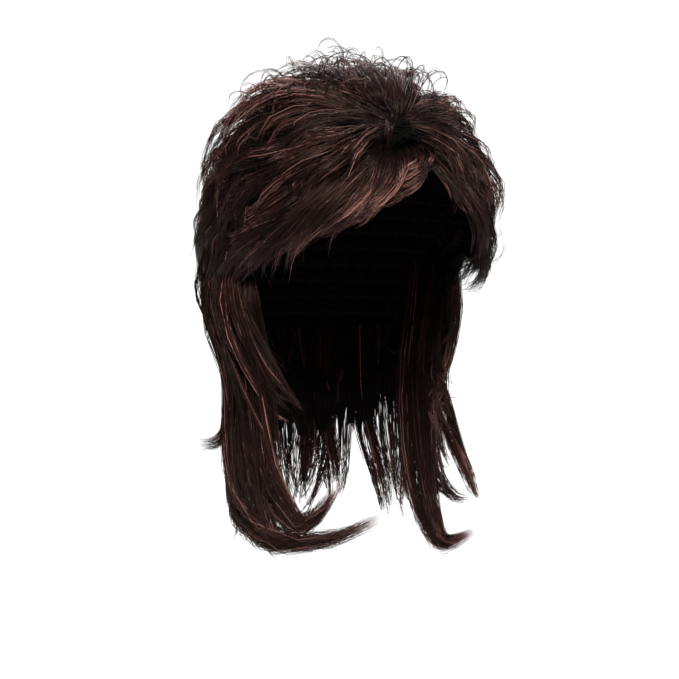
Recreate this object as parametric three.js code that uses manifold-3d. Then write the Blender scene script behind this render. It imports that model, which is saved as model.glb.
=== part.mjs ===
// A mullet wig as it stands when worn: a thin cap with the hair sewn over it in layers of locks.
// Millimetres, +Z up. The wearer faces -Y and the wearer's left hand is at +X.
// The origin is the inside of the cap at its very top, where the wig sits on a head.
import * as THREE from "three";
import { mergeVertices } from "three/addons/utils/BufferGeometryUtils.js";
import Module from "manifold-3d";

const wasm = await Module();
wasm.setup();

// The head that the cap fits
const headHalfWidth = 78;
const headHalfLength = 100;
const crownHeight = 95; // from the widest level of the head up to its top
const formDepth = 130; // how far the head's form runs on below its widest level
const neckRadius = 61; // the neck that the long hair hangs around
const neckBack = 4; // how far the neck's middle lies behind the head's middle
const neckSoftness = 5; // how gradually the hair passes from the head to the neck

// The cap and the mat of hair next to it
const capWall = 1.5;
const clearance = 0.6; // between neighbouring pieces
const capDrop = 168; // from the top of the cap down to its edge at the nape
const crownSeam = 46; // from the top of the cap down to the seam between crown and sides
const hairMat = 9; // from the head out to the face of the matted hair
const fringeMat = 5.5;

// The locks
const crownLength = 86;
const sideLength = 74;
const backLength = 92;
const fringeDrop = 60; // from the fringe's roots down to its lowest tip
const mulletDrop = 165; // from the long hair's roots down to its lowest tip
const lockWidth = 27;
const lockThickness = 9;
const hairRise = 19; // from the head out to the middle of a lock near its tip
const flickReach = 36; // how far the long hair's tips flick away from the neck

const partingRise = 48; // degrees above level of the point that the hair is combed away from
const domeSides = 24;
const domeRings = 14;
const lockSides = 5;
const smoothing = 0.12; // the most that merging short edges may move a face

const degrees = Math.PI / 180;
const mix = THREE.MathUtils.lerp;
const ease = THREE.MathUtils.smoothstep;

// Solids and meshes

function solidOf(geometry) {
  const bare = geometry.clone();
  bare.deleteAttribute("normal");
  bare.deleteAttribute("uv");
  const merged = mergeVertices(bare, 1e-4);
  const mesh = new wasm.Mesh({
    numProp: 3,
    vertProperties: Float32Array.from(merged.attributes.position.array),
    triVerts: Uint32Array.from(merged.index.array),
  });
  return new wasm.Manifold(mesh);
}

function joined(solids) {
  return solids.reduce((whole, solid) => whole.add(solid));
}

// What a cut leaves behind as loose crumbs goes with the cut.
function mainBody(solid) {
  return solid.decompose().reduce((best, body) => (body.volume() > best.volume() ? body : best));
}

function meshOf(name, solid, material) {
  const { vertProperties, triVerts } = solid.getMesh();
  const geometry = new THREE.BufferGeometry();
  geometry.setAttribute("position", new THREE.BufferAttribute(Float32Array.from(vertProperties), 3));
  geometry.setIndex(new THREE.BufferAttribute(Uint32Array.from(triVerts), 1));
  geometry.computeVertexNormals();
  const mesh = new THREE.Mesh(geometry, material);
  mesh.name = name;
  return mesh;
}

// The head's form is an ellipsoid with a longer lower half. Lift is the height above its surface.

const formCentre = new THREE.Vector3(0, 0, -crownHeight);

function formPoint(direction, lift) {
  const axes = new THREE.Vector3(headHalfWidth, headHalfLength, direction.z > 0 ? crownHeight : formDepth);
  const outward = direction.clone().divide(axes).normalize();
  return direction.clone().multiply(axes).add(formCentre).addScaledVector(outward, lift);
}

function formSolid(lift) {
  const geometry = new THREE.SphereGeometry(1, domeSides, domeRings);
  geometry.rotateX(Math.PI / 2);
  const position = geometry.attributes.position;
  for (let i = 0; i < position.count; i++) {
    const direction = new THREE.Vector3().fromBufferAttribute(position, i).normalize();
    const point = formPoint(direction, lift);
    position.setXYZ(i, point.x, point.y, point.z);
  }
  return solidOf(geometry);
}

// Reach is the angle from the parting point. Bearing turns around it: 0 is straight back over the
// top of the head and 90 is towards the wearer's left.
function combedPoint(bearing, reach, lift) {
  const rise = partingRise * degrees;
  const ahead = Math.cos(reach * degrees);
  const back = Math.sin(reach * degrees) * Math.cos(bearing * degrees);
  const left = Math.sin(reach * degrees) * Math.sin(bearing * degrees);
  const direction = new THREE.Vector3(
    left,
    back * Math.sin(rise) - ahead * Math.cos(rise),
    back * Math.cos(rise) + ahead * Math.sin(rise),
  );
  return formPoint(direction, lift);
}

// A point on the brow. Turn goes from straight ahead towards the wearer's left.
function browPoint(turn, drop, lift) {
  const level = 1 - drop / crownHeight;
  const girth = Math.sqrt(1 - level * level);
  const left = girth * Math.sin(turn * degrees);
  const ahead = girth * Math.cos(turn * degrees);
  return formPoint(new THREE.Vector3(left, -ahead, level), lift);
}

// A point on the curtain of long hair. Turn goes from straight back towards the wearer's left.
function napePoint(turn, drop, lift) {
  const level = Math.min((drop - crownHeight) / formDepth, 0.999);
  const girth = Math.sqrt(1 - level * level);
  const left = Math.sin(turn * degrees);
  const back = Math.cos(turn * degrees);
  const headRadius = girth / Math.hypot(left / headHalfWidth, back / headHalfLength);
  const eased = Math.exp(headRadius / neckSoftness) + Math.exp(neckRadius / neckSoftness);
  const radius = neckSoftness * Math.log(eased) + lift;
  return new THREE.Vector3(radius * left, radius * back + neckBack * level, -drop);
}

// Regions of the matted hair are cut from one shell by outlines seen from the side, in y and z.
// A line's rows give back, a share of headHalfLength behind the head's middle, and drop, a share of
// the height that the line is measured in. beyond is well clear of the hair in front and behind.

const beyond = 1.5;
const templeSeam = -0.6; // where the fringe meets the side hair
const rearSeam = 0.34; // where the side hair meets the back hair
const napeSeam = 0.84; // where the long hair begins, a share of capDrop

function line(rows, height) {
  return rows.map(({ back, drop }) => new THREE.Vector2(back * headHalfLength, -drop * height));
}

const crownLine = line(
  [
    { back: -beyond, drop: 0.74 },
    { back: templeSeam, drop: 0.8 },
    { back: 0, drop: 1 },
    { back: rearSeam, drop: 1.14 },
    { back: beyond, drop: 1.54 },
  ],
  crownSeam,
);
const [crownFront, crownTemple, crownSide, crownRear, crownBack] = crownLine;

const capLine = line(
  [
    { back: -beyond, drop: 0.262 },
    { back: -0.8, drop: 0.274 },
    { back: -0.64, drop: 0.345 },
    { back: -0.6, drop: 0.62 },
    { back: -0.34, drop: 0.643 },
    { back: -0.26, drop: 0.536 },
    { back: -0.02, drop: 0.5 },
    { back: 0.18, drop: 0.56 },
    { back: 0.34, drop: 0.762 },
    { back: 0.44, drop: 0.94 },
    { back: beyond, drop: 1 },
  ],
  capDrop,
);

// The front edges of the side hair, from behind the ear up to the temple
const sideLines = {
  right: line(
    [
      { back: rearSeam, drop: 0.885 },
      { back: 0, drop: 0.87 },
      { back: -0.15, drop: 0.815 },
      { back: -0.29, drop: 0.73 },
      { back: -0.43, drop: 0.64 },
      { back: -0.5, drop: 0.54 },
      { back: -0.58, drop: 0.42 },
    ],
    capDrop,
  ),
  left: line(
    [
      { back: rearSeam, drop: 0.885 },
      { back: 0.05, drop: 0.83 },
      { back: -0.2, drop: 0.78 },
      { back: -0.4, drop: 0.66 },
      { back: -0.5, drop: 0.54 },
      { back: -0.58, drop: 0.42 },
    ],
    capDrop,
  ),
};
const fringeLine = line(
  [
    { back: -beyond, drop: 0.27 },
    { back: templeSeam, drop: 0.3 },
  ],
  capDrop,
);
const napeLine = line(
  [
    { back: rearSeam, drop: 1 },
    { back: 0.55, drop: 1.04 },
    { back: beyond, drop: 1.03 },
    { back: beyond, drop: napeSeam },
    { back: rearSeam, drop: napeSeam },
  ],
  capDrop,
);

const [, , , napeBack, napeRear] = napeLine;

// Closes a line from front to back into an outline that takes everything above or below it.
function closedAt(level, points) {
  const ends = [points[points.length - 1].x, points[0].x];
  return [...points, ...ends.map((y) => new THREE.Vector2(y, level))];
}

function moved(points, back, up = 0) {
  return points.map((point) => new THREE.Vector2(point.x + back, point.y + up));
}

// An outline extruded across the head between two sideways places, from the wearer's right to left.
function acrossCutter(points, from, to) {
  const shape = new THREE.Shape(points);
  const geometry = new THREE.ExtrudeGeometry(shape, { depth: to - from, bevelEnabled: false });
  geometry.applyMatrix4(new THREE.Matrix4().set(0, 0, 1, from, 1, 0, 0, 0, 0, 1, 0, 0, 0, 0, 0, 1));
  return solidOf(geometry);
}

const wide = headHalfWidth * 2; // reaches well past the hair on either side
const backHalf = 0.5 * headHalfWidth; // half the width of the middle part of the nape

function matSolid(outerLift, cutter) {
  return formSolid(outerLift).subtract(formSolid(capWall + clearance)).intersect(cutter);
}

// A lock is a flat bundle of hair that tapers to its tip, swept along its guide.

const lockWidest = 0.35; // how far along a lock it is at its widest
const lockRoot = 0.75; // sizes at its two ends, as shares of its widest
const lockTip = 0.12;
const lockFullness = 0.7; // below 1, it keeps its width for longer before the tip

function lockSize(t) {
  if (t < lockWidest) return mix(lockRoot, 1, ease(t, 0, lockWidest));
  return mix(lockTip, 1, Math.pow((1 - t) / (1 - lockWidest), lockFullness));
}

function lockSolid({ guide, width = 1, thickness = 1 }, grow) {
  const curve = new THREE.CatmullRomCurve3(guide);
  const geometry = new THREE.CylinderGeometry(1, 1, 1, lockSides, guide.length - 1);
  const position = geometry.attributes.position;
  for (let i = 0; i < position.count; i++) {
    const t = 0.5 - position.getY(i);
    const middle = curve.getPointAt(t);
    const along = curve.getTangentAt(t);
    const outward = new THREE.Vector3(middle.x, middle.y, Math.max(middle.z - formCentre.z, 0));
    outward.addScaledVector(along, -outward.dot(along)).normalize();
    const sideways = outward.clone().cross(along);
    const across = (lockWidth / 2) * width * lockSize(t) + grow;
    const deep = (lockThickness / 2) * thickness * lockSize(t) + grow;
    if (t < 0.01) middle.addScaledVector(along, -grow);
    if (t > 0.99) middle.addScaledVector(along, grow);
    middle.addScaledVector(sideways, position.getX(i) * across);
    middle.addScaledVector(outward, position.getZ(i) * deep);
    position.setXYZ(i, middle.x, middle.y, middle.z);
  }
  return solidOf(geometry);
}

const guideSteps = [0, 0.25, 0.5, 0.75, 1];

// The reach at which a line of hair on a bearing has dropped by some height below the top.
function reachOf(bearing, drop) {
  const level = (crownHeight - drop) / (drop < crownHeight ? crownHeight : formDepth);
  const up = Math.sin(partingRise * degrees);
  const back = Math.cos(partingRise * degrees) * Math.cos(bearing * degrees);
  return (Math.acos(level / Math.hypot(up, back)) + Math.atan2(back, up)) / degrees;
}

// Rows of combed locks. from and to are bearings. Roots start at a reach, or at a drop as a share of
// capDrop. length is a share of the region's lock length, root and tip are lifts as shares of
// hairRise, and sweep turns the tips.
const crownRows = [
  { count: 7, from: -108, to: 108, reach: 8, length: 0.8, root: 0.42, tip: 1.25, sweep: 8, width: 1.05 },
  { count: 7, from: -82, to: 82, reach: 34, length: 0.84, root: 0.5, tip: 1.4, sweep: -7, width: 1.2 },
  { count: 5, from: -58, to: 58, reach: 62, length: 0.9, root: 0.5, tip: 1.1, sweep: 6, width: 1.3 },
];
const sideRows = [
  { count: 4, from: 64, to: 110, drop: 0.33, length: 0.9, root: 0.36, tip: 0.78, sweep: -4, width: 1 },
  { count: 4, from: 68, to: 114, drop: 0.49, length: 0.95, root: 0.36, tip: 0.66, sweep: -6, width: 1 },
];
const backRows = [
  { count: 5, from: -60, to: 60, drop: 0.44, length: 0.8, root: 0.38, tip: 0.95, sweep: 5, width: 1.3 },
  { count: 5, from: -64, to: 64, drop: 0.62, length: 0.72, root: 0.38, tip: 0.85, sweep: -5, width: 1.15 },
];
const unevenness = 0.07; // how much longer or shorter than its row a lock may be
const sideFlatness = 0.2; // how much less the tips stand up at the sides of the head

function combedLocks(rows, longest, side = 1) {
  const locks = [];
  for (const { count, from, to, reach, drop, length, root, tip, sweep, width } of rows) {
    for (let k = 0; k < count; k++) {
      const bearing = mix(from, to, k / (count - 1));
      const start = reach ?? reachOf(bearing, drop * capDrop);
      const uneven = 1 + unevenness * (((k * 2) % 3) - 1);
      const span = (uneven * length * longest) / (crownHeight * degrees);
      const rise = tip * uneven * (1 - sideFlatness * Math.pow(Math.sin(bearing * degrees), 4));
      const guide = guideSteps.map((t) => {
        const lift = hairRise * mix(root, rise, Math.sin(t * 90 * degrees));
        return combedPoint(side * (bearing + sweep * t * t), start + span * t, lift);
      });
      locks.push({ guide, width });
    }
  }
  return locks;
}

// The fringe. fromTurn and toTurn are degrees from straight ahead towards the wearer's left, and
// fall is a share of fringeDrop.
const fringeRoots = { drop: 0.4 * crownHeight, lift: 0.8 * fringeMat };
const fringeStand = 0.25; // how far the fringe stands off the brow, as a share of hairRise
const fringeThickness = 0.62;
const fringeTable = [
  { fromTurn: 15, toTurn: -4, fall: 0.4, width: 0.6 },
  { fromTurn: 8, toTurn: -18, fall: 0.52, width: 0.62 },
  { fromTurn: 1, toTurn: -32, fall: 0.68, width: 0.65 },
  { fromTurn: -7, toTurn: -45, fall: 0.8, width: 0.68 },
  { fromTurn: -17, toTurn: -57, fall: 0.92, width: 0.7 },
  { fromTurn: -28, toTurn: -67, fall: 1, width: 0.7 },
  { fromTurn: 18, toTurn: 33, fall: 0.5, width: 0.55 },
  { fromTurn: 25, toTurn: 52, fall: 0.72, width: 0.6 },
];

function fringeLocks() {
  return fringeTable.map(({ fromTurn, toTurn, fall, width }) => {
    const guide = guideSteps.map((t) => {
      const turn = mix(fromTurn, toTurn, Math.pow(t, 1.5));
      const drop = fringeRoots.drop + fringeDrop * fall * Math.sin(t * 90 * degrees);
      const stand = fringeStand * hairRise * Math.sin(t * 150 * degrees);
      return browPoint(turn, drop, fringeRoots.lift + stand);
    });
    return { guide, width, thickness: fringeThickness };
  });
}

// The long hair. turn is degrees from straight back towards the wearer's left. lean is how far a
// lock drifts round the neck on its way down, and swing how far its tip then goes round it. fall is
// a share of mulletDrop, and curl the share of it by which the tip rises again. bulge is a share of
// hairRise and flick a share of flickReach.
const napeTable = {
  back: [
    { turn: -27, lean: 8, swing: 0, fall: 0.94, curl: 0, bulge: 0.3, flick: 0.2, width: 1.05 },
    { turn: -14, lean: -6, swing: 0, fall: 1, curl: 0, bulge: 0.4, flick: 0.3, width: 1.05 },
    { turn: 0, lean: 5, swing: 0, fall: 0.95, curl: 0, bulge: 0.3, flick: 0.25, width: 1.05 },
    { turn: 13, lean: -4, swing: 0, fall: 1, curl: 0.02, bulge: 0.4, flick: 0.35, width: 1.05 },
    { turn: 26, lean: -5, swing: 0, fall: 0.93, curl: 0, bulge: 0.3, flick: 0.2, width: 1.05 },
  ],
  right: [
    { turn: -40, lean: 5, swing: 0, fall: 0.95, curl: 0, bulge: 0.35, flick: 0.2, width: 1 },
    { turn: -50, lean: -10, swing: -114, fall: 1.17, curl: 0.34, bulge: 0.3, flick: 0.04, width: 0.85 },
    { turn: -60, lean: -6, swing: 0, fall: 0.93, curl: 0, bulge: 0.65, flick: 0.35, width: 0.95 },
    { turn: -64, lean: 2, swing: 0, fall: 0.58, curl: 0, bulge: 0.6, flick: 0.7, width: 0.7 },
    { turn: -71, lean: -12, swing: 0, fall: 0.93, curl: 0, bulge: 0.6, flick: 0.1, width: 1 },
    { turn: -83, lean: -22, swing: -4, fall: 0.96, curl: 0, bulge: 0.45, flick: 0.02, width: 1 },
    { turn: -92, lean: -26, swing: -33, fall: 1.03, curl: 0.3, bulge: 0.25, flick: 0.04, width: 0.8 },
  ],
  left: [
    { turn: 41, lean: 8, swing: 0, fall: 0.97, curl: 0, bulge: 0.35, flick: 0.35, width: 1 },
    { turn: 53, lean: 10, swing: 0, fall: 1, curl: 0, bulge: 0.3, flick: 0.3, width: 1 },
    { turn: 63, lean: 8, swing: 16, fall: 1.3, curl: 0.26, bulge: 0.25, flick: 0.8, width: 1.3 },
    { turn: 66, lean: 8, swing: 12, fall: 0.9, curl: 0.04, bulge: 0.4, flick: 0.75, width: 0.85 },
    { turn: 75, lean: 8, swing: 10, fall: 0.83, curl: 0, bulge: 0.5, flick: 0.95, width: 0.85 },
    { turn: 80, lean: 4, swing: 0, fall: 0.45, curl: 0, bulge: 0.5, flick: 0.3, width: 1 },
  ],
};

const napeSteps = [0, 0.2, 0.4, 0.6, 0.8, 1];
const sweptSteps = [0, 0.18, 0.36, 0.5, 0.62, 0.75, 0.88, 1];
const sweptSwing = 30; // locks that swing further than this round the neck take the finer steps
const napeLift = 0.55; // how far out the long locks hang, as a share of hairMat
const bulgeEnd = 0.8; // how far along a long lock its outward bulge ends
const swingFrom = { start: 0.45, end: 1.05 }; // where along a lock the swing begins and ends
const curlFrom = 0.55; // where along a lock its tip begins to rise

function napeLocks(rows) {
  const roots = napeSeam * capDrop - hairMat;
  return rows.map(({ turn, lean, swing, fall, curl, bulge, flick, width }) => {
    const steps = Math.abs(swing) > sweptSwing ? sweptSteps : napeSteps;
    const guide = steps.map((t) => {
      const drop = roots + mulletDrop * (fall * Math.sin(t * 90 * degrees) - curl * ease(t, curlFrom, 1));
      const stand = hairRise * bulge * Math.sin(Math.min(t / bulgeEnd, 1) * 180 * degrees);
      const lift = hairMat * napeLift + stand + flickReach * flick * Math.pow(t, 3);
      const around = turn + lean * t + swing * ease(t, swingFrom.start, swingFrom.end);
      return napePoint(around, drop, lift);
    });
    return { guide, width };
  });
}

// Each piece as a function of how far it is grown, so that its neighbours can be cut clear of it.

const pieces = {
  cap: (grow) => {
    const shell = formSolid(capWall + grow).subtract(formSolid(0));
    const outline = moved(closedAt(-headHalfLength * 3, capLine), 0, -grow);
    return shell.subtract(acrossCutter(outline, -wide, wide));
  },
};

function piece(name, outerLift, outline, from, to, locks) {
  pieces[name] = (grow) => {
    const mat = matSolid(outerLift + grow, acrossCutter(outline, from - grow, to + grow));
    return joined([mat, ...locks.map((lock) => lockSolid(lock, grow))]).simplify(smoothing);
  };
}

const gap = clearance / 2;
const napeOutline = moved(napeLine, 0, -gap);
piece("nape_hair_back", hairMat, napeOutline, -backHalf + gap, backHalf - gap, napeLocks(napeTable.back));
piece("nape_hair_right", hairMat, napeOutline, -wide, -backHalf - gap, napeLocks(napeTable.right));
piece("nape_hair_left", hairMat, napeOutline, backHalf + gap, wide, napeLocks(napeTable.left));

const backOutline = [...moved([crownRear, napeRear], clearance), napeBack, crownBack];
piece("back_hair", hairMat, backOutline, -wide, wide, combedLocks(backRows, backLength));

const sideTop = [crownTemple, crownSide, crownRear];
const rightOutline = [...sideLines.right, ...sideTop];
const leftOutline = [...sideLines.left, ...sideTop];
piece("side_hair_right", hairMat, rightOutline, -wide, 0, combedLocks(sideRows, sideLength, -1));
piece("side_hair_left", hairMat, leftOutline, 0, wide, combedLocks(sideRows, sideLength));

const fringeOutline = [crownFront, ...moved(fringeLine, -clearance), ...moved([crownTemple], -clearance)];
piece("fringe", fringeMat, fringeOutline, -wide, wide, fringeLocks());

const crownOutline = closedAt(wide, moved(crownLine, 0, clearance));
piece("crown_hair", hairMat, crownOutline, -wide, wide, combedLocks(crownRows, crownLength));

// Assembly: each piece is cut clear of the ones that lie under it.

const capNet = new THREE.MeshStandardMaterial({ color: 0x17110f, roughness: 0.95, metalness: 0 });
const hairFibre = new THREE.MeshStandardMaterial({ color: 0x2b1614, roughness: 0.4, metalness: 0 });

const group = new THREE.Group();
const grown = [];
for (const [name, build] of Object.entries(pieces)) {
  const solid = grown.reduce((rest, under) => rest.subtract(under), build(0));
  group.add(meshOf(name, mainBody(solid.simplify(smoothing)), name === "cap" ? capNet : hairFibre));
  grown.push(build(clearance));
}

export default group;
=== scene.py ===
# %% [markdown]
# # A mullet wig
# The frame is loaded first: it holds the imported solids of the wig, which this script dresses.
# Their boxes give every size that follows, so nothing here is measured twice. The box of the
# whole model is kept, and the floor is set below it.

# %% Load the frame
import math

import bmesh
import bpy
import numpy as np
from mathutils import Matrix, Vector


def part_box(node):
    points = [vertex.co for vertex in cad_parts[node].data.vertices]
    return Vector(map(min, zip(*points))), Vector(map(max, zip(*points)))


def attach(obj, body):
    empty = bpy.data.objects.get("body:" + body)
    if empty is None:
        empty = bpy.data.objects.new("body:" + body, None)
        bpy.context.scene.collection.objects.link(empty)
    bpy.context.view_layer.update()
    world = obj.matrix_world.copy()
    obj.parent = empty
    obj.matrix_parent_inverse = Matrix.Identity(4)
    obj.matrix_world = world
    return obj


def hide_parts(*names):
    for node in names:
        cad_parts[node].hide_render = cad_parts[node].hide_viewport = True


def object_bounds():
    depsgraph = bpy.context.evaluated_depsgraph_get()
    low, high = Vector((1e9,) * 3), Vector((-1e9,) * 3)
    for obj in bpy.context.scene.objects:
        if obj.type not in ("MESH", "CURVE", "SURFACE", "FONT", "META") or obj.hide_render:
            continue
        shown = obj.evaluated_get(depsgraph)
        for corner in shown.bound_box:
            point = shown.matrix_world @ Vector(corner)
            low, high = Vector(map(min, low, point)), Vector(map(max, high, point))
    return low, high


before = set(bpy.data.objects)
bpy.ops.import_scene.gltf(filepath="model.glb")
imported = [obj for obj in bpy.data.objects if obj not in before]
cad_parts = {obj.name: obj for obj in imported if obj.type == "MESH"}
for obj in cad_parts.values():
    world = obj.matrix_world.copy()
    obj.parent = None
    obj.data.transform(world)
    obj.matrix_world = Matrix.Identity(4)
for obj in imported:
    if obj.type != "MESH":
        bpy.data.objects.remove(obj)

cad_low, cad_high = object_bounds()
print("solids:", sorted(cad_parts))
print("box in mm:", [round(v * 1000) for v in cad_low], [round(v * 1000) for v in cad_high])

# %% [markdown]
# ## The camera
# The camera stands a little to the left of the wig's front and slightly above it. A photograph of
# a head is taken from a step or two away, so the lens is a long one. The target is a point on the
# wig's own axis, and a small shift puts it where the photograph has it.

# %% Camera
azimuth, elevation = math.radians(-28), math.radians(6)
target = Vector((0, 0, -0.161))
distance = 1.5
picture_side = 679  # pixels
pixel_size = 0.66e-3  # metres at the target
across = pixel_size * picture_side
towards = Vector(
    (
        math.sin(azimuth) * math.cos(elevation),
        -math.cos(azimuth) * math.cos(elevation),
        math.sin(elevation),
    )
)
camera = bpy.data.objects.new("camera", bpy.data.cameras.new("camera"))
bpy.context.collection.objects.link(camera)
camera.data.lens = camera.data.sensor_width * distance / across
camera.data.shift_x = -6.5 / picture_side
camera.data.shift_y = -0.5 / picture_side
camera.location = target + towards * distance
camera.rotation_mode = "QUATERNION"
camera.rotation_quaternion = (-towards).to_track_quat("-Z", "Y")
bpy.context.scene.camera = camera
print("lens in mm:", round(camera.data.lens, 1))

# %% [markdown]
# ## Shader helpers
# Shader maths is easier to read as an expression than as a chain of nodes. This small class wraps
# a socket, and each operator adds the Math node that does its work. The method `node` adds any
# other node: its settings come first, because some of them change which sockets it has. A socket
# is given by its name, with _ for a space, or by an i and its number.


# %% Shader helpers
class Wire:
    """A socket that takes part in Python expressions."""

    def __init__(self, tree, socket):
        self.tree, self.socket = tree, socket

    def node(self, kind, settings=None, **sockets):
        made = self.tree.nodes.new(kind)
        for name, value in (settings or {}).items():
            if name == "stops":
                ramp = made.color_ramp
                while len(ramp.elements) < len(value):
                    ramp.elements.new(0.5)
                for element, (place, colour) in zip(ramp.elements, value):
                    element.position = place
                    element.color = (*colour, 1)
            else:
                setattr(made, name, value)
        for name, value in sockets.items():
            key = int(name[1:]) if name[1:].isdigit() else name.replace("_", " ")
            if isinstance(value, Wire):
                self.tree.links.new(made.inputs[key], value.socket)
            else:
                made.inputs[key].default_value = value
        return made

    def out(self, made, name=0):
        return Wire(self.tree, made.outputs[name])

    def math(self, operation, first, second):
        return self.out(self.node("ShaderNodeMath", {"operation": operation}, i0=first, i1=second))

    def __add__(self, other):
        return self.math("ADD", self, other)

    def __radd__(self, other):
        return self.math("ADD", other, self)

    def __sub__(self, other):
        return self.math("SUBTRACT", self, other)

    def __rsub__(self, other):
        return self.math("SUBTRACT", other, self)

    def __mul__(self, other):
        return self.math("MULTIPLY", self, other)

    def __rmul__(self, other):
        return self.math("MULTIPLY", other, self)


def new_material(name):
    """A material with its nodes cleared, its output node, and a wire to build from."""
    material = bpy.data.materials.new(name)
    material.use_nodes = True
    material.node_tree.nodes.clear()
    wire = Wire(material.node_tree, None)
    return material, wire, wire.node("ShaderNodeOutputMaterial")


# %% [markdown]
# ## The floor
# A plain pale disc is the floor, below the longest lock. It glows a little, like a light table, so
# that it stays as pale as the white surround. A circle with a filled cap is all that it needs.

# %% Floor
floor_height = cad_low.z - 0.045
disc = bmesh.new()
bmesh.ops.create_circle(disc, cap_ends=True, segments=96, radius=0.75)
for vert in disc.verts:
    vert.co.z = floor_height
floor_data = bpy.data.meshes.new("floor")
disc.to_mesh(floor_data)
disc.free()
floor = bpy.data.objects.new("floor", floor_data)
bpy.context.collection.objects.link(floor)

floor_paint, wire, output = new_material("floor_paint")
place = wire.out(wire.node("ShaderNodeTexCoord"), "Object")
speckle = wire.out(wire.node("ShaderNodeTexNoise", Vector=place, Scale=30.0))
tint = wire.out(
    wire.node(
        "ShaderNodeValToRGB",
        {"stops": [(0.3, (0.30, 0.30, 0.30)), (0.7, (0.33, 0.33, 0.33))]},
        Fac=speckle,
    )
)
shader = wire.node("ShaderNodeBsdfPrincipled", Base_Color=tint, Roughness=0.9, Emission_Color=tint)
shader.inputs["Emission Strength"].default_value = 2.4
wire.tree.links.new(output.inputs["Surface"], shader.outputs[0])
floor_data.materials.append(floor_paint)
print("floor at", round(floor_height, 3), "m")

# %% [markdown]
# ## The light
# The surround is bright where the camera sees it and dim for the hair, because dark hair in an all
# white room turns grey. A strong soft lamp from the front left and above, a second from the right
# and one behind the head draw the shine. Large lamps give soft edges to the shade.

# %% Light
world = bpy.data.worlds.new("studio")
world.use_nodes = True
surround = Wire(world.node_tree, None)
seen = surround.out(surround.node("ShaderNodeLightPath"), "Is Camera Ray")
background = world.node_tree.nodes["Background"]
background.inputs["Color"].default_value = (1, 1, 1, 1)
world.node_tree.links.new(background.inputs["Strength"], (0.1 + seen * 1.0).socket)
bpy.context.scene.world = world
bpy.context.scene.view_settings.view_transform = "Standard"


def soft_lamp(name, place, size, power):
    lamp = bpy.data.objects.new(name, bpy.data.lights.new(name, "AREA"))
    lamp.data.shape = "SQUARE"
    lamp.data.size = size
    lamp.data.energy = power
    lamp.location = Vector(place)
    lamp.rotation_mode = "QUATERNION"
    lamp.rotation_quaternion = (target - lamp.location).to_track_quat("-Z", "Y")
    bpy.context.collection.objects.link(lamp)


soft_lamp("key_lamp", (-0.8, -1.0, 1.1), 0.4, 110)
soft_lamp("fill_lamp", (1.2, -0.9, 0.7), 0.5, 50)
soft_lamp("rim_lamp", (0.2, 1.2, 1.2), 0.5, 25)
print("lamps:", len(bpy.data.lights))

# %% [markdown]
# ## The head's form
# All hair is placed by the form that it grows on and hangs around: an ellipsoid with a longer lower
# half, and below it the neck. The head's width and length are read back from the cap's box. One
# function turns a direction from the head's middle into a point at some height above this form.

# %% The head's form
cap_low, cap_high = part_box("cap")
cap_wall = 0.0015
half_width = cap_high.x - cap_wall
half_length = cap_high.y - cap_wall
crown_height = 0.095
form_depth = 0.130
neck_radius = 0.061
neck_back = 0.004
neck_softness = 0.005
cap_drop = 0.168
parting_rise = math.radians(48)
centre = np.array([0.0, 0.0, -crown_height])
print("head is", round(half_width * 2000), "mm wide and", round(half_length * 2000), "mm long")


def form_point(direction, lift):
    top = np.where(direction[..., 2] > 0, crown_height, form_depth)
    axes = np.stack([np.full_like(top, half_width), np.full_like(top, half_length), top], -1)
    outward = direction / axes
    outward /= np.linalg.norm(outward, axis=-1, keepdims=True)
    return direction * axes + centre + outward * lift[..., None]


# %% [markdown]
# ## Naming a place on the head
# Hair is cut and combed by directions from one point and by distances down from it, and so are the
# places here. On top, a place is a bearing around the point that hair is combed away from, and a
# reach from it. On the brow and at the nape, it is a turn around the head and a drop. The turn
# starts at the face for the brow and behind the head for the nape. The lift is always the height
# above the head, angles are in degrees, and the functions take whole arrays of places.


# %% Places on the head
def combed_point(bearing, reach, lift):
    bearing, reach, lift = np.broadcast_arrays(bearing, reach, lift)
    b, r = np.radians(bearing), np.radians(reach)
    back, ahead = np.sin(r) * np.cos(b), np.cos(r)
    rise_sin, rise_cos = math.sin(parting_rise), math.cos(parting_rise)
    left = np.sin(r) * np.sin(b)
    backwards = back * rise_sin - ahead * rise_cos
    up = back * rise_cos + ahead * rise_sin
    return form_point(np.stack([left, backwards, up], -1), lift)


def brow_point(turn, drop, lift):
    turn, drop, lift = np.broadcast_arrays(turn, drop, lift)
    below = (crown_height - drop) / form_depth
    level = np.where(drop < crown_height, 1 - drop / crown_height, below)
    girth = np.sqrt(np.clip(1 - level**2, 0, 1))
    a = np.radians(turn)
    direction = np.stack([girth * np.sin(a), -girth * np.cos(a), level], -1)
    return form_point(direction, lift)


def nape_point(turn, drop, lift):
    turn, drop, lift = np.broadcast_arrays(turn, drop, lift)
    level = np.minimum((drop - crown_height) / form_depth, 0.999)
    girth = np.sqrt(np.clip(1 - level**2, 0, 1))
    left, back = np.sin(np.radians(turn)), np.cos(np.radians(turn))
    head_radius = girth / np.hypot(left / half_width, back / half_length)
    soft = neck_softness * np.logaddexp(head_radius / neck_softness, neck_radius / neck_softness)
    radius = soft + lift
    return np.stack([radius * left, radius * back + neck_back * level, -drop], -1)


def reach_of(bearing, drop):
    """The reach at which a bearing's line of hair has come down by a drop."""
    height = crown_height - drop
    level = np.where(drop < crown_height, height / crown_height, height / form_depth)
    up = math.sin(parting_rise)
    back = math.cos(parting_rise) * np.cos(np.radians(bearing))
    return np.degrees(np.arccos(np.clip(level / np.hypot(up, back), -1, 1)) + np.arctan2(back, up))


whorl_place = combed_point(0.0, 0.0, 0.0)
print("hair is combed away from", [int(round(v * 1000)) for v in whorl_place], "mm")

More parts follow.
